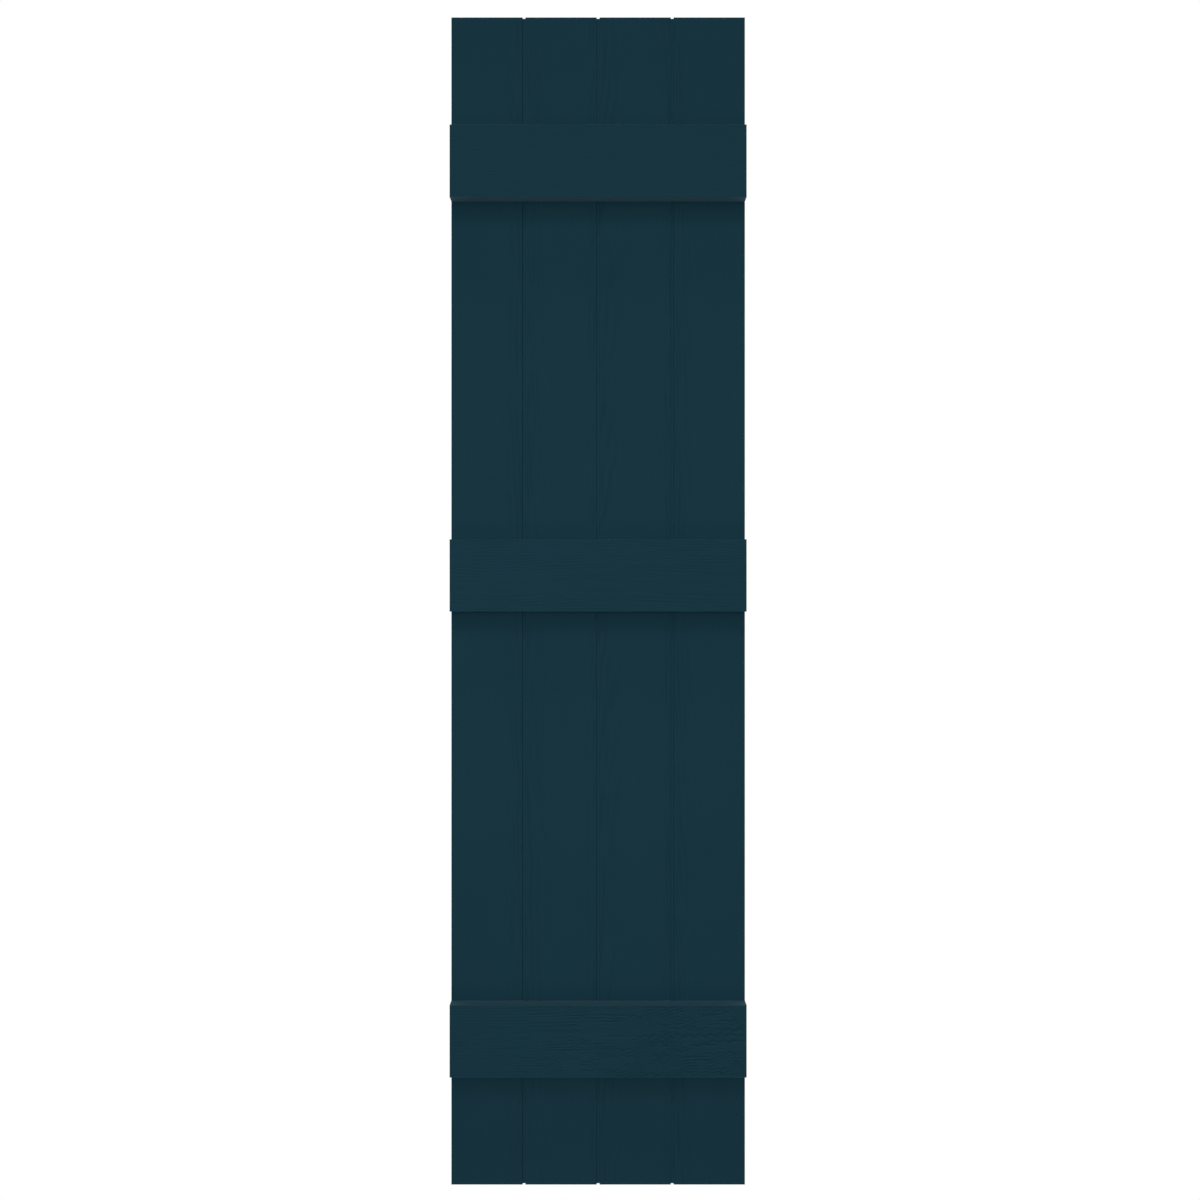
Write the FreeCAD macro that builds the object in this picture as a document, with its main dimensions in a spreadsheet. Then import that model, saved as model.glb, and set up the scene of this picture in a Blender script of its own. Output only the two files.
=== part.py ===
import FreeCAD, Part
import os
import Sketcher

# A board and batten shutter: four moulded boards side by side, three moulded battens across
# their faces and screws driven from behind. The back lies on the wall at y = 0, the front
# faces -Y, +Z is up and the origin is the middle of the back.

BOARD_COUNT = 4
RIB_STEPS = 4

doc = FreeCAD.newDocument("BoardAndBattenShutter")
sizes = doc.addObject("Spreadsheet::Sheet", "Sizes")

# Sizes that drive the shutter, in millimetres
DRIVING = [
    ("shutter_height", "1397", "overall height, a stock 55 in"),
    ("board_face", "85.2", "face width of one board"),
    ("board_depth", "19", "back of the boards to their faces"),
    ("groove_width", "3.5", "gap seen between two board faces"),
    ("groove_depth", "4.2", "depth of that gap"),
    ("batten_height", "85.5", "height of one batten"),
    ("batten_depth", "19", "how far the battens stand off the boards"),
    ("end_margin", "135", "shutter end to the nearer batten"),
    ("upper_bay", "405", "top batten to middle batten"),
    ("face_wall", "2.6", "wall behind every front face"),
    ("side_wall", "2.6", "side and end walls"),
    ("tongue_reach", "4", "how far a tongue goes under the next board"),
    ("tongue_thickness", "2.6", "thickness of the tongue"),
    ("fit_gap", "0.2", "play between a tongue and its slot"),
    ("board_round", "0.8", "rounding of the boards' front edges"),
    ("batten_round", "1.2", "rounding of the battens' front edges"),
    ("rib_thickness", "2", "ribs behind the faces"),
    ("rib_setback", "1.5", "cross ribs stop short of the back"),
    ("boss_diameter", "11", "round screw bosses of the boards"),
    ("spine_drop", "2", "lengthwise ribs stop short of the screw seats"),
    ("post_width", "10", "square screw posts of the battens"),
    ("web_setback", "6", "batten webs stop short of the boards"),
    ("shank_diameter", "4.2", "screw shank"),
    ("shank_gap", "0.4", "play of the shank in a board"),
    ("pilot_gap", "0.1", "play of the shank in a batten"),
    ("head_diameter", "8", "screw head"),
    ("head_height", "2.6", "screw head"),
    ("head_cover", "3.4", "screw heads lie this far inside the back"),
    ("tip_gap", "4", "pilot hole left beyond the screw"),
]

# Sizes that follow from them
DERIVED = [
    ("half_height", "=shutter_height / 2"),
    ("half_face", "=board_face / 2"),
    ("half_batten", "=batten_height / 2"),
    ("half_rib", "=rib_thickness / 2"),
    ("board_pitch", "=board_face + groove_width"),
    ("inner_board_x", "=board_pitch / 2"),
    ("outer_board_x", "=board_pitch * 1.5"),
    ("half_panel", "=outer_board_x + half_face"),
    ("joint_wall", "=half_face + groove_width / 2 - fit_gap / 2"),
    ("groove_floor", "=board_depth - groove_depth"),
    ("tongue_tip", "=half_face + groove_width + tongue_reach"),
    ("tongue_back", "=groove_floor - tongue_thickness"),
    ("slot_front", "=groove_floor + fit_gap"),
    ("slot_back", "=tongue_back - fit_gap"),
    ("slot_end", "=half_face - tongue_reach - fit_gap"),
    ("slot_wall", "=slot_end - side_wall"),
    ("inner_wall", "=half_face - side_wall"),
    ("inner_end", "=half_height - side_wall"),
    ("cavity_depth", "=board_depth - face_wall"),
    ("edge_pocket", "=slot_back - side_wall"),
    ("rib_height", "=cavity_depth - rib_setback"),
    ("screw_seat", "=head_cover + head_height"),
    ("boss_height", "=cavity_depth - screw_seat"),
    ("spine_setback", "=screw_seat + spine_drop"),
    ("spine_height", "=cavity_depth - spine_setback"),
    ("hole_diameter", "=shank_diameter + shank_gap"),
    ("top_batten_z", "=half_height - end_margin - half_batten"),
    ("middle_batten_z", "=top_batten_z - batten_height - upper_bay"),
    ("bottom_batten_z", "=end_margin + half_batten - half_height"),
    ("lower_bay", "=middle_batten_z - bottom_batten_z - batten_height"),
    ("upper_rib_step", "=upper_bay / %d" % RIB_STEPS),
    ("lower_rib_step", "=lower_bay / %d" % RIB_STEPS),
    ("batten_cavity", "=batten_depth - face_wall"),
    ("web_height", "=batten_cavity - web_setback"),
    ("half_post", "=post_width / 2"),
    ("pilot_diameter", "=shank_diameter + pilot_gap"),
    ("head_radius", "=head_diameter / 2"),
    ("shank_radius", "=shank_diameter / 2"),
    ("screw_tip", "=board_depth + batten_cavity - tip_gap"),
]

for row, entry in enumerate(DRIVING + DERIVED, start=1):
    sizes.set("A%d" % row, entry[0])
    sizes.set("B%d" % row, entry[1])
    sizes.setAlias("B%d" % row, entry[0])
    sizes.set("C%d" % row, entry[2] if len(entry) == 3 else "follows from the sizes above")
doc.recompute()


def amount(terms):
    """Add up sheet names and signs, such as 'half_face - side_wall'."""
    total = 0.0
    sign = 1
    for word in terms.split():
        if word in ("+", "-"):
            sign = 1 if word == "+" else -1
        else:
            total += sign * sizes.get(word)
    return total


def formula(terms):
    """Write the same names as an expression that follows the sheet."""
    return " ".join(w if w in ("+", "-") else "Sizes." + w for w in terms.split())


def new_body(label):
    """Start a piece; its label names its file."""
    body = doc.addObject("PartDesign::Body", label)
    body.Label = label
    return body


def new_sketch(body, plane, name, offset=""):
    """Start a sketch on one of the body's own planes, or at an offset in front of it."""
    sketch = body.newObject("Sketcher::SketchObject", name)
    support = [f for f in body.Origin.OriginFeatures if f.Role == plane][0]
    sketch.AttachmentSupport = [(support, "")]
    sketch.MapMode = "FlatFace"
    if offset:
        sketch.setExpression("AttachmentOffset.Base.z", formula(offset))
    return sketch


def tie(sketch, shape, point, place):
    """Fix one point of a sketch by sheet names; an empty text puts it on the axis."""
    for kind, axis, terms in (("DistanceX", -2, place[0]), ("DistanceY", -1, place[1])):
        if terms:
            rule = Sketcher.Constraint(kind, -1, 1, shape, point, amount(terms))
            number = sketch.addConstraint(rule)
            sketch.setExpression("Constraints[%d]" % number, formula(terms))
        else:
            sketch.addConstraint(Sketcher.Constraint("PointOnObject", shape, point, axis))


def outline(sketch, corners):
    """Draw a closed outline and tie each of its corners to the sheet."""
    count = len(corners)
    first = sketch.GeometryCount
    spots = [FreeCAD.Vector(amount(x), amount(y), 0) for x, y in corners]
    for i in range(count):
        sketch.addGeometry(Part.LineSegment(spots[i], spots[(i + 1) % count]), False)
    for i in range(count):
        following = first + (i + 1) % count
        sketch.addConstraint(Sketcher.Constraint("Coincident", first + i, 2, following, 1))
        tie(sketch, first + i, 1, corners[i])


def rectangle(sketch, left, right, low, high):
    """Draw a rectangle between four places on the sheet."""
    outline(sketch, [(left, low), (right, low), (right, high), (left, high)])


def circle(sketch, place, diameter):
    """Draw a circle at a place and of a diameter on the sheet."""
    centre = FreeCAD.Vector(amount(place[0]), amount(place[1]), 0)
    ring = Part.Circle(centre, FreeCAD.Vector(0, 0, 1), sizes.get(diameter) / 2)
    number = sketch.addGeometry(ring, False)
    tie(sketch, number, 3, place)
    rule = Sketcher.Constraint("Diameter", number, sizes.get(diameter))
    sketch.setExpression("Constraints[%d]" % sketch.addConstraint(rule), formula(diameter))


def extrude(body, kind, name, sketch, length, both_ways=False):
    """Pad a sketch towards the front, or pocket it from the back, by a length on the sheet."""
    made = body.newObject("PartDesign::" + kind, name)
    made.Profile = sketch
    made.SideType = "Symmetric" if both_ways else "One side"
    made.Reversed = kind == "Pocket" and not both_ways
    made.setExpression("Length", formula(length))
    doc.recompute()
    return made


def repeat(body, name, feature, axis, spacing, count):
    """Repeat a feature along X or Z at a spacing on the sheet."""
    made = body.newObject("PartDesign::LinearPattern", name)
    made.Originals = [feature]
    made.Direction = ([f for f in body.Origin.OriginFeatures if f.Role == axis][0], [""])
    made.Mode = "Spacing"
    made.setExpression("Offset", formula(spacing))
    made.Occurrences = count
    body.Tip = made
    doc.recompute()
    return made


def round_front(body, name, depth, radius):
    """Round the straight edges of the front face."""
    tip = body.Tip
    front = -sizes.get(depth)
    edges = []
    for number, edge in enumerate(tip.Shape.Edges, start=1):
        flat = all(abs(v.Y - front) < 0.001 for v in edge.Vertexes)
        if flat and edge.Curve.TypeId == "Part::GeomLine":
            edges.append("Edge%d" % number)
    made = body.newObject("PartDesign::Fillet", name)
    made.Base = (tip, edges)
    made.setExpression("Radius", formula(radius))
    doc.recompute()


BATTENS = [
    ("top_batten", "top_batten_z"),
    ("middle_batten", "middle_batten_z"),
    ("bottom_batten", "bottom_batten_z"),
]


def add_rib(body, name, middle):
    """Add one cross rib behind the face, with its middle at a height on the sheet."""
    line = new_sketch(body, "XZ_Plane", name + "Line", "rib_setback")
    rectangle(line, "- inner_wall", "inner_wall", middle + " - half_rib", middle + " + half_rib")
    return extrude(body, "Pad", name, line, "rib_height")


def make_board(label, x, slot, tongue):
    """Mould one board: a shell open at the back, with ribs, screw bosses and edge joints."""
    body = new_body(label)
    corners = [("- half_face", "- board_depth"), ("half_face", "- board_depth")]
    if tongue:
        corners += [
            ("half_face", "- groove_floor"),
            ("tongue_tip", "- groove_floor"),
            ("tongue_tip", "- tongue_back"),
            ("joint_wall", "- tongue_back"),
            ("joint_wall", ""),
        ]
    else:
        corners += [("half_face", "")]
    if slot:
        corners += [
            ("- joint_wall", ""),
            ("- joint_wall", "- slot_front"),
            ("- half_face", "- slot_front"),
        ]
    else:
        corners += [("- half_face", "")]
    section = new_sketch(body, "XY_Plane", "Section")
    outline(section, corners)
    extrude(body, "Pad", "Blank", section, "shutter_height", both_ways=True)
    round_front(body, "FrontEdges", "board_depth", "board_round")

    # The open back, shallower where the slot for the next board's tongue runs
    left = "- slot_wall" if slot else "- inner_wall"
    hollow = new_sketch(body, "XZ_Plane", "Hollow")
    rectangle(hollow, left, "inner_wall", "- inner_end", "inner_end")
    extrude(body, "Pocket", "OpenBack", hollow, "cavity_depth")
    if slot:
        edge = new_sketch(body, "XZ_Plane", "EdgeHollow")
        rectangle(edge, "- inner_wall", "- slot_end", "- inner_end", "inner_end")
        extrude(body, "Pocket", "OpenEdge", edge, "edge_pocket")

    # Cross ribs: one at each batten edge and three more across each bay
    add_rib(body, "TopRib", "top_batten_z + half_batten")
    rib = add_rib(body, "UpperRib", "middle_batten_z + half_batten")
    repeat(body, "UpperRibs", rib, "Z_Axis", "upper_rib_step", RIB_STEPS + 1)
    rib = add_rib(body, "LowerRib", "bottom_batten_z + half_batten")
    repeat(body, "LowerRibs", rib, "Z_Axis", "lower_rib_step", RIB_STEPS + 1)
    add_rib(body, "BottomRib", "bottom_batten_z - half_batten")

    # A lengthwise rib ties the screw bosses together
    spine = new_sketch(body, "XZ_Plane", "SpineLine", "spine_setback")
    rectangle(spine, "- half_rib", "half_rib", "- inner_end", "inner_end")
    extrude(body, "Pad", "Spine", spine, "spine_height")
    bosses = new_sketch(body, "XZ_Plane", "BossRings", "screw_seat")
    holes = new_sketch(body, "XZ_Plane", "HoleRings")
    for batten, z in BATTENS:
        circle(bosses, ("", z), "boss_diameter")
        circle(holes, ("", z), "hole_diameter")
    extrude(body, "Pad", "Bosses", bosses, "boss_height")
    extrude(body, "Pocket", "ScrewHoles", holes, "board_depth")

    if slot:
        groove = new_sketch(body, "XY_Plane", "SlotSection")
        rectangle(groove, "- joint_wall - side_wall", "- slot_end", "- slot_front", "- slot_back")
        extrude(body, "Pocket", "TongueSlot", groove, "shutter_height", both_ways=True)
    body.setExpression("Placement.Base.x", formula(x))
    return body


def make_batten(label, z):
    """Mould one batten: a cap open at the back, with a screw post for every board."""
    body = new_body(label)
    face = new_sketch(body, "XZ_Plane", "Face")
    rectangle(face, "- half_panel", "half_panel", "- half_batten", "half_batten")
    extrude(body, "Pad", "Blank", face, "batten_depth")
    round_front(body, "FrontEdges", "batten_depth", "batten_round")
    hollow = new_sketch(body, "XZ_Plane", "Hollow")
    rectangle(hollow, "- half_panel + side_wall", "half_panel - side_wall",
              "- half_batten + side_wall", "half_batten - side_wall")
    extrude(body, "Pocket", "OpenBack", hollow, "batten_cavity")

    # In front of each board a web carries a screw post with its pilot hole
    web = new_sketch(body, "XZ_Plane", "WebLine", "web_setback")
    rectangle(web, "- outer_board_x - half_rib", "- outer_board_x + half_rib",
              "- half_batten + side_wall", "half_batten - side_wall")
    web_pad = extrude(body, "Pad", "Web", web, "web_height")
    repeat(body, "Webs", web_pad, "X_Axis", "board_pitch", BOARD_COUNT)
    post = new_sketch(body, "XZ_Plane", "PostSection")
    rectangle(post, "- outer_board_x - half_post", "- outer_board_x + half_post",
              "- half_post", "half_post")
    post_pad = extrude(body, "Pad", "Post", post, "batten_cavity")
    repeat(body, "Posts", post_pad, "X_Axis", "board_pitch", BOARD_COUNT)
    ring = new_sketch(body, "XZ_Plane", "PilotRing")
    circle(ring, ("- outer_board_x", ""), "pilot_diameter")
    pilot = extrude(body, "Pocket", "Pilot", ring, "batten_cavity")
    repeat(body, "Pilots", pilot, "X_Axis", "board_pitch", BOARD_COUNT)
    body.setExpression("Placement.Base.y", formula("- board_depth"))
    body.setExpression("Placement.Base.z", formula(z))
    return body


def make_screws(label, z):
    """Turn one round-headed screw and repeat it for every board behind a batten."""
    body = new_body(label)
    body.AllowCompound = True
    half = new_sketch(body, "XY_Plane", "HalfSection")
    outline(half, [
        ("", "- screw_tip"),
        ("shank_radius", "- screw_tip"),
        ("shank_radius", "- screw_seat"),
        ("head_radius", "- screw_seat"),
        ("head_radius", "- head_cover"),
        ("", "- head_cover"),
    ])
    half.setExpression("AttachmentOffset.Base.x", formula("- outer_board_x"))
    screw = body.newObject("PartDesign::Revolution", "Screw")
    screw.Profile = half
    screw.ReferenceAxis = (half, ["V_Axis"])
    screw.Angle = 360
    doc.recompute()
    repeat(body, "Screws", screw, "X_Axis", "board_pitch", BOARD_COUNT)
    body.setExpression("Placement.Base.z", formula(z))
    return body


pieces = [
    make_board("outer_left_board", "- outer_board_x", slot=False, tongue=True),
    make_board("inner_left_board", "- inner_board_x", slot=True, tongue=True),
    make_board("inner_right_board", "inner_board_x", slot=True, tongue=True),
    make_board("outer_right_board", "outer_board_x", slot=True, tongue=False),
]
for batten, z in BATTENS:
    pieces.append(make_batten(batten, z))
    pieces.append(make_screws(batten + "_screws", z))
doc.recompute()

for item in doc.Objects:
    if "Invalid" in item.State or "Error" in item.State:
        raise RuntimeError("%s did not build: %s" % (item.Label, item.State))
os.makedirs("parts", exist_ok=True)
for piece in pieces:
    shape = piece.Shape
    if shape.isNull() or not shape.isValid():
        raise RuntimeError("%s has no valid solid" % piece.Label)
    shape.exportStep("parts/%s.step" % piece.Label)
    print(piece.Label, len(shape.Solids), "solid(s)", round(shape.Volume / 1000, 1), "cm3")
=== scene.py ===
# %% [markdown]
# # A board and batten shutter
# The shutter is four moulded boards, three moulded battens laid across them and a row of
# screws behind each batten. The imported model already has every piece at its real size, so
# it is loaded first and never moved. What is left for this script is the finish: woodgrain
# pressed into the faces, coloured plastic, plated screws, soft studio light and a camera.

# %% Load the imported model
import math
from dataclasses import dataclass

import bmesh
import bpy
import numpy as np
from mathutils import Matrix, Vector


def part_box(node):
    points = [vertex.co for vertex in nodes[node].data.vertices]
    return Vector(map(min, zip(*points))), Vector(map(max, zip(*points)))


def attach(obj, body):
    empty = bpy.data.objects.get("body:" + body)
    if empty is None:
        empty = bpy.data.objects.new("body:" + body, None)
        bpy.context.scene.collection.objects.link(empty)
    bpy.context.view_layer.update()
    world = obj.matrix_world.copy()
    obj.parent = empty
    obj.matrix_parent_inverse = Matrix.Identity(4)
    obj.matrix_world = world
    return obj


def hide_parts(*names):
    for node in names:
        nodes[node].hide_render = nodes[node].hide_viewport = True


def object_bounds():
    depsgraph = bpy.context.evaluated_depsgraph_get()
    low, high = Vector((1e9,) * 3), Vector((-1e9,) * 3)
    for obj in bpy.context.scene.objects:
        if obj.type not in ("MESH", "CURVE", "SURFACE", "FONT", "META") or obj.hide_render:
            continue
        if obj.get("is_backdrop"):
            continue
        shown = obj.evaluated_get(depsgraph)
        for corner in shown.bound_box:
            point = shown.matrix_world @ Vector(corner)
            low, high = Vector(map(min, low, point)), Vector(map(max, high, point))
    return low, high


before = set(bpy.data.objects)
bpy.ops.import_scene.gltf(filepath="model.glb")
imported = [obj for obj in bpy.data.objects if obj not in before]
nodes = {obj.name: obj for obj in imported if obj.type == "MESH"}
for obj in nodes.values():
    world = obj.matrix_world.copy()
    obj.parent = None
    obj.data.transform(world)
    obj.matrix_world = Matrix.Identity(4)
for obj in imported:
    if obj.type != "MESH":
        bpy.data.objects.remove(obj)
cad_low, cad_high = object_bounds()
MM = 0.001
print("shutter box in mm:", [round(side / MM, 1) for side in cad_high - cad_low])

# %% [markdown]
# The pieces are found by their names. Boards are sorted from left to right and battens from
# bottom to top, so that later steps can count them as a maker would.

# %% Find the pieces
boards = sorted((n for n in nodes if n.endswith("_board")), key=lambda n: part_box(n)[0].x)
battens = sorted((n for n in nodes if n.endswith("_batten")), key=lambda n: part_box(n)[0].z)
screw_rows = [batten + "_screws" for batten in battens]
print("boards:", boards)
print("battens:", battens)
print("rows of screws:", screw_rows)

# %% [markdown]
# ## Arithmetic for materials
# A procedural material is a graph of nodes, and most of its nodes only add or multiply.
# They could be linked by hand, one call for every wire. Wrapping an output socket in a
# small class instead lets an ordinary Python expression such as `0.5 - mask * 0.3` add the
# Math nodes, so a finish reads like the recipe that it is. Any other node comes from the
# `node` method, and a wire with no socket is the loose end that a new graph starts from.


# %% Wrap a node's output
class Wire:
    """One output in a node tree, with arithmetic for single values."""

    def __init__(self, tree, socket=None):
        self.tree = tree
        self.socket = socket

    def node(self, kind, settings=None, inputs=None, output=0):
        """Add a node: its settings first, then the values or wires of its sockets."""
        made = self.tree.nodes.new(kind)
        for name, value in (settings or {}).items():
            setattr(made, name, value)
        for key, value in (inputs or {}).items():
            if isinstance(value, Wire):
                self.tree.links.new(value.socket, made.inputs[key])
            else:
                made.inputs[key].default_value = value
        return Wire(self.tree, made.outputs[output]) if made.outputs else None

    def math(self, operation, first, second):
        """Add one Math node."""
        return self.node("ShaderNodeMath", {"operation": operation}, {0: first, 1: second})

    def __add__(self, other):
        return self.math("ADD", self, other)

    def __sub__(self, other):
        return self.math("SUBTRACT", self, other)

    def __rsub__(self, other):
        return self.math("SUBTRACT", other, self)

    def __mul__(self, other):
        return self.math("MULTIPLY", self, other)

    __radd__ = __add__
    __rmul__ = __mul__


trial = bpy.data.node_groups.new("trial", "ShaderNodeTree")
mask = Wire(trial).node("ShaderNodeTexNoise")
paler = 0.5 - mask * 0.3
print("0.5 - mask * 0.3 ends in", paler.socket.node.operation, "after", len(trial.nodes), "nodes")
bpy.data.node_groups.remove(trial)

# %% [markdown]
# Every finish here starts from the object's own coordinates, because they are in metres and
# stay on the piece when the view changes. That lets a noise be asked for by the size of its
# cells, in millimetres, as a maker would name the size of a mottle or a scratch.

# %% Start a material and its noises
# A Mix node has sockets for every kind of data, and these are the ones for colours
MIX_FIRST, MIX_SECOND, MIX_COLOUR = 6, 7, 2


def start_material(name):
    """Make an empty material and return it with a wire of its object coordinates."""
    material = bpy.data.materials.new(name)
    material.use_nodes = True
    material.node_tree.nodes.clear()
    start = Wire(material.node_tree)
    return material, start.node("ShaderNodeTexCoord", output="Object")


def noise(place, cell, detail, stretch=(1, 1, 1)):
    """Add a noise with cells of a size in metres, longer where stretch is small."""
    stretched = place.node(
        "ShaderNodeVectorMath", {"operation": "MULTIPLY"}, {0: place, 1: stretch}
    )
    sockets = {"Vector": stretched, "Scale": 1 / cell, "Detail": detail}
    return place.node("ShaderNodeTexNoise", inputs=sockets)


def blend(share, first, second):
    """Mix two colours by a wire that says how much of the second is in it."""
    return share.node(
        "ShaderNodeMix",
        {"data_type": "RGBA"},
        {0: share, MIX_FIRST: first, MIX_SECOND: second},
        output=MIX_COLOUR,
    )


print("materials before the first finish:", len(bpy.data.materials))

# %% [markdown]
# ## Coloured plastic
# The shutter is moulded from plastic coloured right through, in a deep blue green. Up close
# it isn't one flat colour: the resin clouds a little, the skin is finely mottled and the
# pressed grain holds a darker tone. The grain itself will be real relief, so this material
# only reads how deep it is, from an attribute of the mesh called `grain`. Fibres thinner
# than the mesh can hold are left to a bump, and only where `pressed` says a face has grain.
# Each tone is a share of the darker colour. What the mould leaves smooth, in the grooves, on
# the edges and at the back, can be painted lighter than a grained face: painted light that
# thins the shade in the grooves.

# %% Mix the coloured plastic
DEEP_TEAL = (0.0089, 0.0349, 0.0504, 1)
GRAIN_TEAL = (0.0060, 0.0232, 0.0336, 1)
PLASTIC_SPECULAR = 0.03
PLASTIC_ROUGHNESS = 0.52
SHEEN_ROUGHNESS = 0.30
CLOUD_CELL, CLOUD_TONE, CLOUD_ROUGHNESS = 110 * MM, 0.21, 0.12
SPECK_CELL, SPECK_HEIGHT, SPECK_ROUGHNESS = 1.1 * MM, 0.25, 0.18
FIBRE_CELL, FIBRE_HEIGHT, FIBRE_TONE = 0.7 * MM, 0.6, 0.26
GRAIN_ROUGHNESS = 0.10
SKIN_BUMP, SKIN_DEPTH = 0.20, 0.2 * MM


def coloured_plastic(name, fibre_stretch, smooth_painted_light_tone, face_tone, grain_tone, sheen):
    """Mix the moulded plastic, with fibres along one axis and grain in a darker tone."""
    material, place = start_material(name)
    grain = place.node("ShaderNodeAttribute", {"attribute_name": "grain"}, output="Fac")
    pressed = place.node("ShaderNodeAttribute", {"attribute_name": "pressed"}, output="Fac")
    cloud = noise(place, CLOUD_CELL, detail=3.0) - 0.5
    speck = noise(place, SPECK_CELL, detail=2.0) - 0.5
    fibre = (noise(place, FIBRE_CELL, detail=3.0, stretch=fibre_stretch) - 0.5) * pressed
    # Smooth surfaces can take less of the dark colour: on the boards this is painted light that
    # thins the shade in the grooves
    tone = smooth_painted_light_tone + pressed * (face_tone - smooth_painted_light_tone) + grain * grain_tone
    tone = tone + cloud * CLOUD_TONE + fibre * FIBRE_TONE
    mottle = speck * SPECK_ROUGHNESS + cloud * CLOUD_ROUGHNESS
    height = fibre * FIBRE_HEIGHT + speck * SPECK_HEIGHT
    bump = place.node(
        "ShaderNodeBump",
        inputs={"Strength": SKIN_BUMP, "Distance": SKIN_DEPTH, "Height": height},
    )
    plastic = place.node(
        "ShaderNodeBsdfPrincipled",
        inputs={
            "Base Color": blend(tone, DEEP_TEAL, GRAIN_TEAL),
            "Roughness": PLASTIC_ROUGHNESS + mottle + grain * GRAIN_ROUGHNESS,
            "Normal": bump,
            "Specular IOR Level": PLASTIC_SPECULAR,
            "Sheen Weight": sheen,
            "Sheen Roughness": SHEEN_ROUGHNESS,
        },
    )
    place.node("ShaderNodeOutputMaterial", inputs={"Surface": plastic})
    return material


print("the darkest tone keeps", round(GRAIN_TEAL[1] / DEEP_TEAL[1], 2), "of the lightest")

# %% [markdown]
# Boards and battens are separate mouldings of the same plastic. Their fibres run along
# them, so the noise is stretched along Z for the one and along X for the other. The battens
# also have a trace of sheen, a glow at glancing angles that lifts their narrow ledges.

# %% Mix both mouldings
# Along a fibre the noise is squeezed, so a fibre is about 45 times as long as it is thick
ALONG_FIBRES = 0.022
# The boards' smooth tone is lighter than their faces: painted light in the grooves, on the edges
# and at the back
board_plastic = coloured_plastic(
    "moulded_board_plastic", (1, 1, ALONG_FIBRES),
    smooth_painted_light_tone=0.0, face_tone=0.246, grain_tone=0.31, sheen=0.0,
)
batten_plastic = coloured_plastic(
    "moulded_batten_plastic", (ALONG_FIBRES, 1, 1),
    smooth_painted_light_tone=0.30, face_tone=0.30, grain_tone=0.10, sheen=0.10,
)
print("nodes in the plastic:", len(board_plastic.node_tree.nodes))

# %% [markdown]
# ## Woodgrain
# The mould is etched from real planks, so the faces carry their growth rings. A plank sawn
# from a round log shows each ring as a long arch in its middle and as close straight lines
# near its edges. An image of wood could show that, but numbers can too: the distance from a
# point on the face to the heart of the log, divided by the ring width, counts the rings.
# Smooth random values, from a seed so that every run agrees, make them wander and fade.

# %% Make smooth random values
# Cells along each side of a square of random values, which then repeats
PATCHES = 128


def ease(value, low, high):
    """Rise smoothly from 0 at low to 1 at high."""
    share = np.clip((value - low) / (high - low), 0, 1)
    return share * share * (3 - 2 * share)


def patches(seed, across, along, cell_across, cell_along):
    """Smooth random values from 0 to 1 on cells of the given size in mm."""
    grid = np.random.default_rng(seed).random((PATCHES, PATCHES))
    u, v = across / cell_across, along / cell_along
    i, k = np.floor(u).astype(int), np.floor(v).astype(int)
    rise_u, rise_v = ease(u - i, 0, 1), ease(v - k, 0, 1)
    i0, i1 = i % PATCHES, (i + 1) % PATCHES
    k0, k1 = k % PATCHES, (k + 1) % PATCHES
    near = grid[i0, k0] * (1 - rise_u) + grid[i1, k0] * rise_u
    far = grid[i0, k1] * (1 - rise_u) + grid[i1, k1] * rise_u
    return near * (1 - rise_v) + far * rise_v


tops = patches(1, np.arange(4), np.arange(4), 2, 2)
print("smooth values on a diagonal:", tops.round(2))

# %% [markdown]
# One plank is described by where the heart of its log lay, how wide its rings are, how far
# they wander and how long its lines and pores are. All its sizes are in millimetres.


# %% Work out the grain of a plank
@dataclass
class Plank:
    """How one plank was sawn from its log."""

    seed: int
    heart: float
    below: float
    taper: float
    ring: float
    swing: float
    swing_length: float
    dash: tuple
    pore: tuple


DEPTH_WANDER, DEPTH_WANDER_LENGTH = 9, 240
RING_WOBBLE, RING_WOBBLE_CELL = 0.35, (7, 45)
LINE_DEPTH, LINE_FADE = 0.8, (0.25, 0.65)
PORE_DEPTH, PORE_FADE = 0.55, (0.6, 0.95)


def plank_grain(across, along, plank):
    """Depth of the grain, 0 to 1, at places across and along one plank."""
    centre_line = np.zeros_like(along)
    swing = patches(plank.seed, centre_line, along, 1, plank.swing_length) - 0.5
    sink = patches(plank.seed + 1, centre_line, along, 1, DEPTH_WANDER_LENGTH) - 0.5
    sideways = across - plank.heart - plank.swing * swing
    below = plank.below + plank.taper * along + DEPTH_WANDER * sink
    wobble = RING_WOBBLE * patches(plank.seed + 2, across, along, *RING_WOBBLE_CELL)
    ring = np.hypot(sideways, below) / plank.ring + wobble
    line = (0.5 + 0.5 * np.cos(2 * np.pi * ring)) ** 2
    fade = ease(patches(plank.seed + 3, across, along, *plank.dash), *LINE_FADE)
    pore = ease(patches(plank.seed + 4, across, along, *plank.pore), *PORE_FADE)
    return np.clip(LINE_DEPTH * line * fade + PORE_DEPTH * pore, 0, 1)


sample = Plank(1, heart=2, below=40, taper=0.05, ring=3, swing=8, swing_length=200,
               dash=(8, 40), pore=(1.2, 24))
down_the_middle = plank_grain(np.zeros(5), np.linspace(0, 400, 5), sample)
print("grain down the middle of a plank:", down_the_middle.round(2))

# %% [markdown]
# ## Pressing the grain into a face
# A bump map would shade the grain but leave the mesh flat. Here the flat front of a piece
# is taken off and filled again with a fine grid, which is then pushed in by a fraction of a
# millimetre. A board's front also has screw holes, but they lie under the battens where
# nobody sees them. So the front is first cut into the stretches that show, each one a plain
# rectangle, and what lies under a batten stays flat for the batten to sit on.

# %% Cut the front into stretches
# Places that are nearer to each other than this are the same
TOUCH = 0.002 * MM


def front_faces(mesh):
    """The facets of the flat front, which has the lowest Y."""
    front = min(v.co.y for v in mesh.verts)
    return [f for f in mesh.faces if all(v.co.y < front + TOUCH for v in f.verts)]


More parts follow.
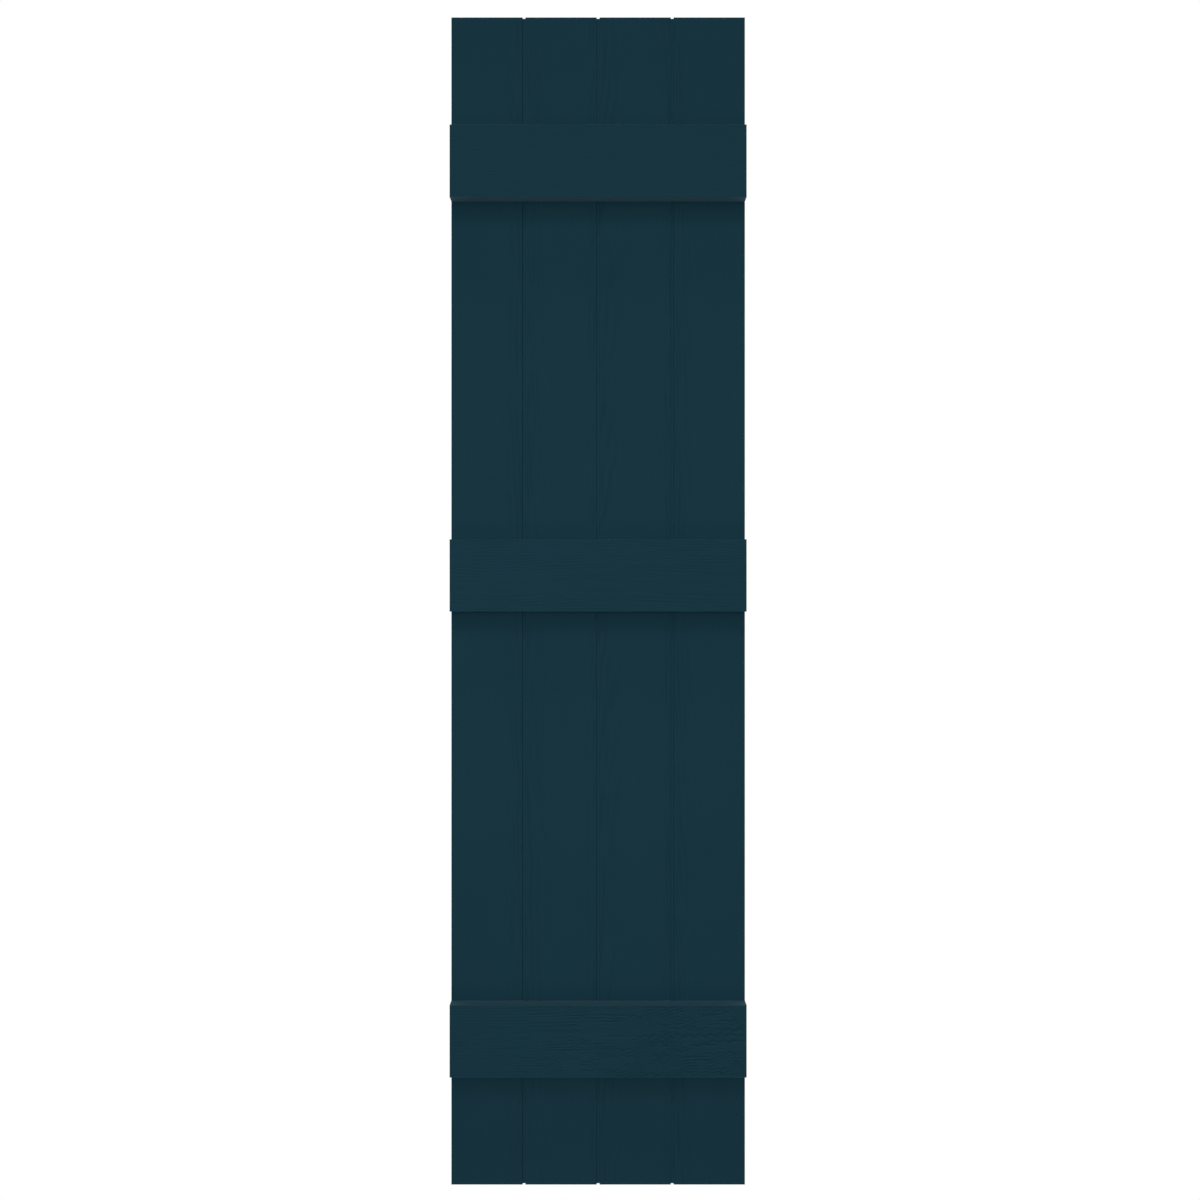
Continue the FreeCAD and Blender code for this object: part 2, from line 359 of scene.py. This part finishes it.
def cut_front(mesh, stretches):
    """Cut the front at the ends of its stretches and return one flat face for each."""
    for height in sorted({end for stretch in stretches for end in stretch}):
        faces = front_faces(mesh)
        edges = dict.fromkeys(e for f in faces for e in f.edges)
        verts = dict.fromkeys(v for f in faces for v in f.verts)
        bmesh.ops.bisect_plane(
            mesh,
            geom=[*faces, *edges, *verts],
            dist=TOUCH / 2,
            plane_co=(0, 0, height),
            plane_no=(0, 0, 1),
        )
    whole = []
    for low, high in stretches:
        inside = [
            f for f in front_faces(mesh)
            if all(low - TOUCH < v.co.z < high + TOUCH for v in f.verts)
        ]
        whole.append(bmesh.ops.dissolve_faces(mesh, faces=inside)["region"][0])
    return whole


print("facets in the packed boards:", sum(len(nodes[n].data.polygons) for n in boards))

# %% [markdown]
# The rim of the new grid has to share its vertices with the rounded edge around it, or the
# mesh would have a crack there. So the sides of the face are split where grid lines will
# meet them, and its corners are walked once round. A rim vertex either lies on a crossing
# of the grid or between two of them, and then it joins the cell on that side.

# %% Mark the rim of a face
# Numbers of the axes in a coordinate
X, Z = 0, 2


def split_rim(mesh, face, axis, lines):
    """Split the sides of a face that run along one axis where the lines meet them."""
    for edge in list(face.edges):
        first, last = sorted(edge.verts, key=lambda v: v.co[axis])
        for line in lines:
            if first.co[axis] + TOUCH < line < last.co[axis] - TOUCH:
                rest = mesh.edges.get((first, last))
                share = (line - first.co[axis]) / (last.co[axis] - first.co[axis])
                first = bmesh.utils.edge_split(rest, first, share)[1]


def line_number(value, lines):
    """The number of the grid line at a value, or None between lines."""
    nearest = int(np.argmin(np.abs(lines - value)))
    return nearest if abs(lines[nearest] - value) < TOUCH else None


def rim_spots(face, x_lines, z_lines):
    """Rim vertices by their grid crossing, and those between one crossing and the next."""
    rim = list(face.verts)
    marks = [(line_number(v.co.x, x_lines), line_number(v.co.z, z_lines)) for v in rim]
    stops = [n for n, mark in enumerate(marks) if None not in mark]
    spots = {marks[n]: rim[n] for n in stops}
    between = {}
    for n, following in zip(stops, stops[1:] + [stops[0] + len(rim)]):
        extra = [rim[m % len(rim)] for m in range(n + 1, following)]
        between[marks[n], marks[following % len(rim)]] = extra
    return spots, between


print("grid lines meet the rim to within", TOUCH / MM, "mm")

# %% [markdown]
# Now the face can go. Rows and columns of new vertices fill its inside, and four corners at
# a time make a quad. A quad at the rim takes in the vertices that lie between its corners,
# so it may have more than four.


# %% Fill a face with a grid
def grid_lines(places, cell):
    """Even lines from the lowest place to the highest, about a cell apart."""
    low, high = min(places), max(places)
    return np.linspace(low, high, round((high - low) / cell) + 1)


def fill_with_grid(mesh, face, cell):
    """Replace a flat rectangle by a grid and return its vertices and its lines."""
    cell_x, cell_z = cell
    x_lines = grid_lines([v.co.x for v in face.verts], cell_x)
    z_lines = grid_lines([v.co.z for v in face.verts], cell_z)
    split_rim(mesh, face, X, x_lines)
    split_rim(mesh, face, Z, z_lines)
    spots, between = rim_spots(face, x_lines, z_lines)
    front = face.verts[0].co.y
    bmesh.ops.delete(mesh, geom=[face], context="FACES_ONLY")
    for i, x in enumerate(x_lines[1:-1], 1):
        for k, z in enumerate(z_lines[1:-1], 1):
            spots[i, k] = mesh.verts.new((x, front, z))
    for i in range(len(x_lines) - 1):
        for k in range(len(z_lines) - 1):
            corners = [(i, k), (i + 1, k), (i + 1, k + 1), (i, k + 1)]
            ring = []
            for first, second in zip(corners, corners[1:] + corners[:1]):
                ring += [spots[first], *between.get((first, second), [])]
            mesh.faces.new(ring)
    return spots, x_lines, z_lines


print("lines over 10 mm, 3 mm apart:", grid_lines([0, 10], 3).round(1))

# %% [markdown]
# With the grid in place, pressing is one loop: every vertex inside the rim moves back by
# its share of the relief, and keeps that share as an attribute for the plastic to read. The
# rim itself isn't moved, so the grain runs out there.


# %% Press grain into a piece
def pressed_mesh(node, stretches, cell, relief, depth_of):
    """Copy a piece's mesh and press grain into the given stretches of its front."""
    mesh = bmesh.new()
    mesh.from_mesh(nodes[node].data)
    bmesh.ops.remove_doubles(mesh, verts=mesh.verts, dist=TOUCH / 2)
    grain = mesh.verts.layers.float.new("grain")
    pressed = mesh.verts.layers.float.new("pressed")
    for face in cut_front(mesh, stretches):
        spots, x_lines, z_lines = fill_with_grid(mesh, face, cell)
        depth = depth_of(*np.meshgrid(x_lines / MM, z_lines / MM, indexing="ij"))
        depth[[0, -1], :] = 0
        depth[:, [0, -1]] = 0
        for (i, k), vert in spots.items():
            vert[pressed] = 1.0
            vert[grain] = depth[i, k]
            vert.co.y += relief * depth[i, k]
    mesh.normal_update()
    return mesh


packed_corners = sum(len(nodes[n].data.vertices) for n in boards + battens)
print("corners in the packed boards and battens:", packed_corners)

# %% [markdown]
# The finished mesh becomes an object that rides on the shutter and stands for its node. The
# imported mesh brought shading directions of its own, which no longer fit, so they are dropped
# and worked out again: smooth over roundings, crisp at edges.

# %% Settle a piece
SHARP_EDGE = math.radians(45)


def settle(mesh, name, node, material):
    """Make a piece of a finished mesh and fix it to the shutter in place of its node."""
    data = bpy.data.meshes.new(name)
    mesh.to_mesh(data)
    mesh.free()
    stale_normals = data.attributes.get("custom_normal")
    if stale_normals:
        data.attributes.remove(stale_normals)
    data.polygons.foreach_set("use_smooth", [True] * len(data.polygons))
    data.set_sharp_from_angle(angle=SHARP_EDGE)
    data.materials.clear()
    data.materials.append(material)
    piece = bpy.data.objects.new(name, data)
    bpy.context.scene.collection.objects.link(piece)
    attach(piece, "root")
    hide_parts(node)
    print(name, len(data.polygons), "faces")


print("edges of more than", round(math.degrees(SHARP_EDGE)), "degrees stay crisp")

# %% [markdown]
# ## The boards
# Each board is its own plank, with its own seed and heart. Its grain crowds beside the
# grooves, where the rings were cut nearly edge on, and its middle stays calm. The flat part
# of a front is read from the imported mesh: it ends where the rounding begins.

# %% Describe the boards' grain
BOARD_SEED = 40
# A plank draws from several seeds in a row, so the next plank starts this far on
SEED_STEP = 10
BOARD_HEARTS = (-3, 6, -7, 4)
BOARD_TAPERS = (0.030, -0.034, 0.038, -0.028)
# How far in from each side the grain is crowded, in mm, and how much of it the middle keeps
CROWDED_LEFT = (5, 30, 32, 28)
CROWDED_RIGHT = (24, 14, 12, 8)
CALM_GRAIN = 0.10


def flat_front(node):
    """Lowest and highest X and Z of a piece's flat front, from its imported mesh."""
    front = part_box(node)[0].y
    flat = [v.co for v in nodes[node].data.vertices if v.co.y < front + TOUCH]
    xs = [p.x for p in flat]
    zs = [p.z for p in flat]
    return min(xs), max(xs), min(zs), max(zs)


def board_grain(number, left, right):
    """Return the depth of one board's grain, which runs along Z, as a function."""
    middle, half = (left + right) / 2 / MM, (right - left) / 2 / MM
    plank = Plank(
        BOARD_SEED + SEED_STEP * number, heart=BOARD_HEARTS[number], below=62.0,
        taper=BOARD_TAPERS[number], ring=3.1, swing=14, swing_length=210,
        dash=(6, 36), pore=(1.2, 30),
    )

    def depth_of(x, z):
        across = x - middle
        beside_left = 1 - ease(across + half, 0, CROWDED_LEFT[number])
        beside_right = 1 - ease(half - across, 0, CROWDED_RIGHT[number])
        crowd = np.maximum(beside_left, beside_right)
        return plank_grain(across, z, plank) * (CALM_GRAIN + (1 - CALM_GRAIN) * crowd)

    return depth_of


print("flat front of a board in mm:", [round(c / MM, 1) for c in flat_front(boards[0])])

# %% [markdown]
# The stretches that show run from one end of a board to the first batten, from batten to
# batten, and on to the other end. They reach a little way under each batten, so that no
# edge of the grain can be seen. The cells of the grid are narrow across the grain and long
# beside it, so that no quad is spent where nothing changes.

# %% Press the boards
BOARD_CELL = (0.55 * MM, 4.0 * MM)
BOARD_RELIEF = 0.30 * MM
UNDER_BATTEN = 6 * MM

lowest, highest = flat_front(boards[0])[2:]
stretch_ends = [lowest]
for batten in battens:
    low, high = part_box(batten)
    stretch_ends += [low.z + UNDER_BATTEN, high.z - UNDER_BATTEN]
stretch_ends.append(highest)
stretches = list(zip(stretch_ends[0::2], stretch_ends[1::2]))

for number, node in enumerate(boards):
    left, right = flat_front(node)[:2]
    depth_of = board_grain(number, left, right)
    mesh = pressed_mesh(node, stretches, BOARD_CELL, BOARD_RELIEF, depth_of)
    settle(mesh, node + "_pressed", node, board_plastic)

# %% [markdown]
# ## The battens
# A batten is the same moulding turned on its side: its grain runs from left to right, in
# short dashes. The lowest one comes from a plank with a curly end, which shows as ripples
# towards its right, and the top one is the plainest. A curl is only a sideways push that
# swings to and fro along the plank, so it is added to the place where the grain is read.
# Each list goes from the bottom batten to the top one.

# %% Describe the battens' grain
BATTEN_SEED = 110
BATTEN_HEARTS = (10, -14, 20)
BATTEN_DASH = (15, 30, 24)
GRAIN_AT_LEFT = (0.50, 0.50, 0.35)
GRAIN_AT_RIGHT = (1.60, 0.60, 0.30)
CURL = (2.8, 0.5, 0.3)
CURL_LENGTH, CURL_SLANT, CURL_CELL = 13.0, 0.25, (12, 28)
CURL_SEED = 7
# The grain changes from the left end to this share of the way from the middle to the right
CHANGE_ENDS = 0.5


def batten_grain(number, left, right, lowest, highest):
    """Return the depth of one batten's grain, which runs along X, as a function."""
    middle = (lowest + highest) / 2 / MM
    plank = Plank(
        BATTEN_SEED + SEED_STEP * number, heart=BATTEN_HEARTS[number], below=10.0,
        taper=0.012, ring=3.4, swing=6, swing_length=120,
        dash=(5, BATTEN_DASH[number]), pore=(1.0, 16),
    )

    def depth_of(x, z):
        rightward = ease(x, left / MM, CHANGE_ENDS * right / MM)
        curly = patches(plank.seed + CURL_SEED, z, x, *CURL_CELL) * rightward
        wave = np.sin(2 * np.pi * x / CURL_LENGTH + CURL_SLANT * z)
        across = z - middle + CURL[number] * wave * curly
        gain = GRAIN_AT_RIGHT[number] - GRAIN_AT_LEFT[number]
        return plank_grain(across, x, plank) * (GRAIN_AT_LEFT[number] + gain * rightward)

    return depth_of


print("flat front of a batten in mm:", [round(c / MM, 1) for c in flat_front(battens[0])])

# %% [markdown]
# Nothing lies over a batten, so its whole flat front is one stretch. Its cells are long from
# left to right, as its grain is.

# %% Press the battens
BATTEN_CELL = (2.0 * MM, 0.42 * MM)
BATTEN_RELIEF = 0.55 * MM

for number, node in enumerate(battens):
    left, right, lowest, highest = flat_front(node)
    depth_of = batten_grain(number, left, right, lowest, highest)
    mesh = pressed_mesh(node, [(lowest, highest)], BATTEN_CELL, BATTEN_RELIEF, depth_of)
    settle(mesh, node + "_pressed", node, batten_plastic)

# %% [markdown]
# ## Plated screws
# The screws hold each batten from behind and only their heads show, deep in the back of the
# boards. They are zinc plated steel: bright, a little cloudy, and finely scratched by the
# driver. Metal shows what is around it, so most of its detail goes into the roughness.

# %% Mix the zinc plating
ZINC = (0.56, 0.57, 0.58, 1)
DULL_ZINC = (0.36, 0.37, 0.38, 1)
ZINC_CLOUD_CELL, ZINC_CLOUD_ROUGHNESS = 1.4 * MM, 0.22
SCRATCH_CELL, SCRATCH_ROUGHNESS = 0.4 * MM, 0.08
SCRATCH_STRETCH = (1.0, 0.1, 0.4)
SCRATCH_BUMP, SCRATCH_DEPTH = 0.15, 0.1 * MM
ZINC_ROUGHNESS = 0.24


def plated_steel(name):
    """Mix zinc plating with cloudy patches and fine scratches."""
    material, place = start_material(name)
    cloud = noise(place, ZINC_CLOUD_CELL, detail=4.0)
    scratch = noise(place, SCRATCH_CELL, detail=2.0, stretch=SCRATCH_STRETCH)
    bump = place.node(
        "ShaderNodeBump",
        inputs={"Strength": SCRATCH_BUMP, "Distance": SCRATCH_DEPTH, "Height": scratch},
    )
    dulled = cloud * ZINC_CLOUD_ROUGHNESS + scratch * SCRATCH_ROUGHNESS
    steel = place.node(
        "ShaderNodeBsdfPrincipled",
        inputs={
            "Base Color": blend(cloud, ZINC, DULL_ZINC),
            "Roughness": ZINC_ROUGHNESS + dulled,
            "Normal": bump,
            "Metallic": 1.0,
        },
    )
    place.node("ShaderNodeOutputMaterial", inputs={"Surface": steel})
    return material


zinc_steel = plated_steel("zinc_plated_steel")
print("nodes in the plating:", len(zinc_steel.node_tree.nodes))

# %% [markdown]
# A screw is turned as rings of vertices about its own axis, from the middle of its head to
# its tip, and each ring is joined to the next, so the whole screw is one closed skin. The
# head is a low dome with a cross recess pressed into it. The thread is cut into the shank:
# how deep a point lies depends on its angle and its place along the screw, which makes the
# groove climb as it goes round. Head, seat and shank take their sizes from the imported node.

# %% Shape a screw's head and thread
HEAD_SIDES, SHANK_SIDES = 64, 32
HEAD_CROWN = 0.9 * MM
RECESS_REACH, RECESS_HALF_WIDTH = 2.4 * MM, 0.55 * MM
RECESS_DEPTH, RECESS_RISE = 1.5 * MM, 0.55
THREAD_PITCH, THREAD_DEPTH = 1.6 * MM, 0.45 * MM
POINT_LENGTH, POINT_SHARE = 4 * MM, 0.12


@dataclass
class Screw:
    """The sizes of a screw along Y, its head at the back."""

    centre: Vector
    back: float
    seat: float
    tip: float
    head_radius: float
    shank_radius: float

    def head_spot(self, radius, angle):
        """Radius and Y of a point on the top of the head."""
        narrow, wide = sorted((abs(radius * math.cos(angle)), abs(radius * math.sin(angle))))
        sink = HEAD_CROWN * (radius / self.head_radius) ** 2
        if narrow < RECESS_HALF_WIDTH and wide < RECESS_REACH:
            sink = max(sink, RECESS_DEPTH * (1 - RECESS_RISE * wide / RECESS_REACH))
        return radius, self.back - sink

    def thread_spot(self, y, angle):
        """Radius and Y of a point on the thread, which narrows to a point."""
        turn = (self.seat - y) / THREAD_PITCH - angle / (2 * math.pi)
        saw = abs(turn % 1.0 - 0.5) * 2
        point = min(1.0, max(POINT_SHARE, (y - self.tip) / POINT_LENGTH))
        return (self.shank_radius - THREAD_DEPTH * saw) * point, y


print("a thread of", round(THREAD_PITCH / MM, 1), "mm pitch")

# %% [markdown]
# The head needs more sides than the shank, for the corners of its recess. Where the two
# meet, under the head, each side of the shank is joined to two sides of the head. The rings
# of the head are given as shares of its radius, closer together where the recess is.

# %% Turn a screw
RECESS_RINGS = np.linspace(0.12, 0.66, 20)
DOME_RINGS = np.linspace(0.70, 1.0, 7)
RINGS_PER_PITCH = 6


def turns(sides):
    """The angles of the corners of a ring."""
    return np.arange(sides) * 2 * math.pi / sides


def add_ring(mesh, centre, spots):
    """Add a ring of vertices, evenly round the axis, each at its radius and Y."""
    ring = []
    for angle, (radius, y) in zip(turns(len(spots)), spots):
        x, z = radius * math.cos(angle), radius * math.sin(angle)
        ring.append(mesh.verts.new((centre.x + x, y, centre.z + z)))
    return ring


def join_rings(mesh, first, second):
    """Join two rings, the first with as many sides as the second or twice as many."""
    step = len(first) // len(second)
    for n in range(len(second)):
        part = [first[(n * step + m) % len(first)] for m in range(step + 1)]
        mesh.faces.new([*part, second[(n + 1) % len(second)], second[n]])


def add_screw(mesh, screw):
    """Add one screw as a closed skin, ring by ring from its head to its tip."""
    outline = []
    for radius in screw.head_radius * np.concatenate([RECESS_RINGS, DOME_RINGS]):
        outline.append([screw.head_spot(radius, angle) for angle in turns(HEAD_SIDES)])
    outline.append([(screw.head_radius, screw.seat)] * HEAD_SIDES)
    count = round((screw.seat - screw.tip) / THREAD_PITCH * RINGS_PER_PITCH)
    for y in np.linspace(screw.seat, screw.tip, count):
        outline.append([screw.thread_spot(y, angle) for angle in turns(SHANK_SIDES)])
    rings = [add_ring(mesh, screw.centre, spots) for spots in outline]
    mesh.faces.new(rings[0][::-1])
    for first, second in zip(rings, rings[1:]):
        join_rings(mesh, first, second)
    mesh.faces.new(rings[-1])


print("rings in a head:", len(RECESS_RINGS) + len(DOME_RINGS))

# %% [markdown]
# A row has one screw behind the middle of every board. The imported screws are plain, so their
# sizes can be read from the corners of their meshes: the tips are the lowest in Y, the backs
# of the heads the highest, and the seats under the heads come next below those.

# %% Turn the rows of screws
for node in screw_rows:
    low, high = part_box(node)
    corners = [v.co for v in nodes[node].data.vertices]
    seat = max(c.y for c in corners if c.y < high.y - TOUCH)
    tip_heights = [c.z for c in corners if c.y < low.y + TOUCH]
    mesh = bmesh.new()
    for board in boards:
        left, right = flat_front(board)[:2]
        add_screw(mesh, Screw(
            centre=Vector(((left + right) / 2, 0, (low.z + high.z) / 2)),
            back=high.y,
            seat=seat,
            tip=low.y,
            head_radius=(high.z - low.z) / 2,
            shank_radius=(max(tip_heights) - min(tip_heights)) / 2,
        ))
    bmesh.ops.recalc_face_normals(mesh, faces=mesh.faces)
    settle(mesh, node + "_turned", node, zinc_steel)

# %% [markdown]
# ## Floor
# The shutter hangs on a wall, clear of the ground, so the floor lies well below it. It is
# plain and pale and takes the soft shadow. A big floor would end in a hard horizon, so this
# one fades into the white surroundings towards its rim.

# %% Mix the floor
FLOOR_RADIUS = 1.6
# Share of the radius at which the floor starts to fade
FADE_START = 0.5
FLOOR_COLOUR = (0.80, 0.80, 0.80, 1)
DUST_COLOUR = (0.74, 0.74, 0.74, 1)
DUST_CELL, DUST_SHARE = 25 * MM, 0.2


def pale_floor(name):
    """Mix a pale matt floor that fades out towards its rim."""
    material, place = start_material(name)
    distance = place.node(
        "ShaderNodeVectorMath", {"operation": "LENGTH"}, {0: place}, output="Value"
    )
    fade = place.node(
        "ShaderNodeMapRange",
        {"interpolation_type": "SMOOTHSTEP"},
        {"Value": distance, "From Min": FADE_START * FLOOR_RADIUS, "From Max": FLOOR_RADIUS},
    )
    dust = noise(place, DUST_CELL, detail=4.0) * DUST_SHARE
    colour = blend(dust, FLOOR_COLOUR, DUST_COLOUR)
    matt = place.node("ShaderNodeBsdfDiffuse", inputs={"Color": colour})
    clear = place.node("ShaderNodeBsdfTransparent")
    faded = place.node("ShaderNodeMixShader", inputs={0: fade, 1: matt, 2: clear})
    place.node("ShaderNodeOutputMaterial", inputs={"Surface": faded})
    return material


floor_finish = pale_floor("pale_floor")
print("nodes in the floor's finish:", len(floor_finish.node_tree.nodes))

# %% [markdown]
# The floor is one flat disc. It takes shadow but casts none and sends no light back up, so
# that it changes nothing about the light on the shutter. It is marked as stage, because it
# isn't part of the object.

# %% Lay the floor
FLOOR_DROP = 1.3
FLOOR_SIDES = 96

mesh = bmesh.new()
bmesh.ops.create_circle(mesh, cap_ends=True, radius=FLOOR_RADIUS, segments=FLOOR_SIDES)
floor_data = bpy.data.meshes.new("floor")
mesh.to_mesh(floor_data)
mesh.free()
floor_data.materials.append(floor_finish)
floor = bpy.data.objects.new("floor", floor_data)
floor.location.z = cad_low.z - FLOOR_DROP
floor.visible_shadow = False
floor.visible_diffuse = False
bpy.context.scene.collection.objects.link(floor)
floor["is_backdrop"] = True
print("floor", FLOOR_DROP, "m below the shutter")

# %% [markdown]
# ## Light
# The light is soft and mostly frontal. Just under each batten the boards keep a little over
# half of their brightness, and that shade runs out within a batten's depth. So about half
# of the light comes from a panel just behind the camera, and most of the rest from tall
# softboxes above. They hang a little to the left, which draws a thin dark line down the
# left side of each groove. A lamp's power could be tuned by eye, but here it is worked out
# from the share of plain light that it should give to the front, so that all shares add up
# to a level at which colours come out as they are written.

# %% Make lamps that give a share of the light
FRONTWARD = Vector((0, -1, 0))
BACKWARD = Vector((0, 1, 0))
LEFTWARD = Vector((-1, 0, 0))
RIGHTWARD = Vector((1, 0, 0))
WASH_SPREAD = math.radians(8)


def hang(name, lamp, way):
    """Hang a lamp that shines along a way and isn't seen itself."""
    hung = bpy.data.objects.new(name, lamp)
    hung.rotation_euler = way.to_track_quat("-Z", "Y").to_euler()
    hung.visible_camera = False
    hung.visible_glossy = False
    bpy.context.scene.collection.objects.link(hung)
    print(name, round(lamp.energy, 2))
    return hung


def softbox(name, place, size, share, facing=FRONTWARD):
    """Hang a rectangular lamp that gives its share to a surface at the origin, facing so."""
    way = -Vector(place)
    lamp = bpy.data.lights.new(name, "AREA")
    lamp.shape = "RECTANGLE"
    lamp.size, lamp.size_y = size
    slant = -way.normalized().dot(facing)
    lamp.energy = math.pi ** 2 * way.length_squared * share / slant
    hang(name, lamp, way).location = place


def wash(name, rise, share):
    """Let even light fall steeply along the front, from a rise in degrees."""
    rise = math.radians(rise)
    lamp = bpy.data.lights.new(name, "SUN")
    lamp.angle = WASH_SPREAD
    lamp.energy = math.pi * share
    hang(name, lamp, Vector((0, math.cos(rise), -math.sin(rise))))


print("a wash spreads over", round(math.degrees(WASH_SPREAD)), "degrees")

# %% [markdown]
# The two washes graze the front and fall on the ledges of the battens, which would be dark
# without them. The last three panels stand behind the shutter. The camera's picture has
# almost none of their light, but a view of the sides or the back needs them.

# %% Hang the lamps
softbox("front_panel", place=(-0.05, -2.05, 0.04), size=(0.25, 0.42), share=0.525)
softbox("high_softbox", place=(-0.9, -7.0, 9.7), size=(1.6, 3.2), share=0.17)
softbox("tall_softbox", place=(-0.9, -10.8, 5.2), size=(1.6, 8.8), share=0.20)
softbox("low_panel", place=(-0.4, -7.0, -7.0), size=(2.4, 4.0), share=0.055)
wash("ceiling_wash", rise=82, share=0.40)
wash("floor_wash", rise=-87, share=0.64)
softbox("rear_panel", place=(0.6, 2.6, 1.6), size=(2.0, 2.0), share=0.40, facing=BACKWARD)
softbox("left_panel", place=(-2.4, 1.9, 0.3), size=(1.4, 1.4), share=0.50, facing=LEFTWARD)
softbox("right_panel", place=(2.4, 1.9, 0.3), size=(1.4, 1.4), share=0.50, facing=RIGHTWARD)

# %% [markdown]
# The surroundings are white to the camera and in reflections, and dim as a source of light,
# so that the background stays clean while the lamps do the lighting. A ray's kind is a
# value of 0 or 1, and the three kinds that see white can simply be added.

# %% Set the surroundings
AMBIENT, BACKGROUND = 0.05, 1.0
WHITE = (1, 1, 1, 1)

world = bpy.data.worlds.new("studio")
world.use_nodes = True
world.node_tree.nodes.clear()
bpy.context.scene.world = world
studio = Wire(world.node_tree)


def ray_is(kind):
    """1 for a ray of this kind and 0 for any other."""
    return studio.node("ShaderNodeLightPath", output="Is " + kind + " Ray")


seen = ray_is("Camera") + ray_is("Glossy") + ray_is("Transmission")
dim = studio.node("ShaderNodeBackground", inputs={"Color": WHITE, "Strength": AMBIENT})
bright = studio.node("ShaderNodeBackground", inputs={"Color": WHITE, "Strength": BACKGROUND})
shown = studio.node("ShaderNodeMixShader", inputs={0: seen, 1: dim, 2: bright})
studio.node("ShaderNodeOutputWorld", inputs={"Surface": shown})
bpy.context.scene.view_settings.view_transform = "Standard"
print("ambient light", AMBIENT)

# %% [markdown]
# ## Camera
# The camera stands square in front of the shutter, a hair right of its middle and above it.
# Its distance comes from the battens: they are nearer than the boards and so look a little
# wider, by an amount that only one distance explains. The lens then fits the height.

# %% Place the camera
CAMERA_DISTANCE = 1.5385
CAMERA_RIGHT, CAMERA_UP = 2.24 * MM, 1.22 * MM
CAMERA_LENS, SENSOR_WIDTH = 38.575, 36.0
# A camera looks straight down until it is tipped up
LEVEL = math.radians(90)

board_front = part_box(boards[0])[0].y
camera_data = bpy.data.cameras.new("camera")
camera_data.lens = CAMERA_LENS
camera_data.sensor_width = SENSOR_WIDTH
camera = bpy.data.objects.new("camera", camera_data)
camera.location = (CAMERA_RIGHT, board_front - CAMERA_DISTANCE, CAMERA_UP)
camera.rotation_euler = (LEVEL, 0, 0)
bpy.context.scene.collection.objects.link(camera)
bpy.context.scene.camera = camera
print("camera at", [round(c, 4) for c in camera.location])

# %% [markdown]
# ## Measure the size
# The pressed pieces must not grow past the imported model, so how much the box grew is
# printed.

# %% Print how much the box grew
low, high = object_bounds()
print("grown by mm:", [round((b - a) / MM, 4) for a, b in zip(cad_high - cad_low, high - low)])
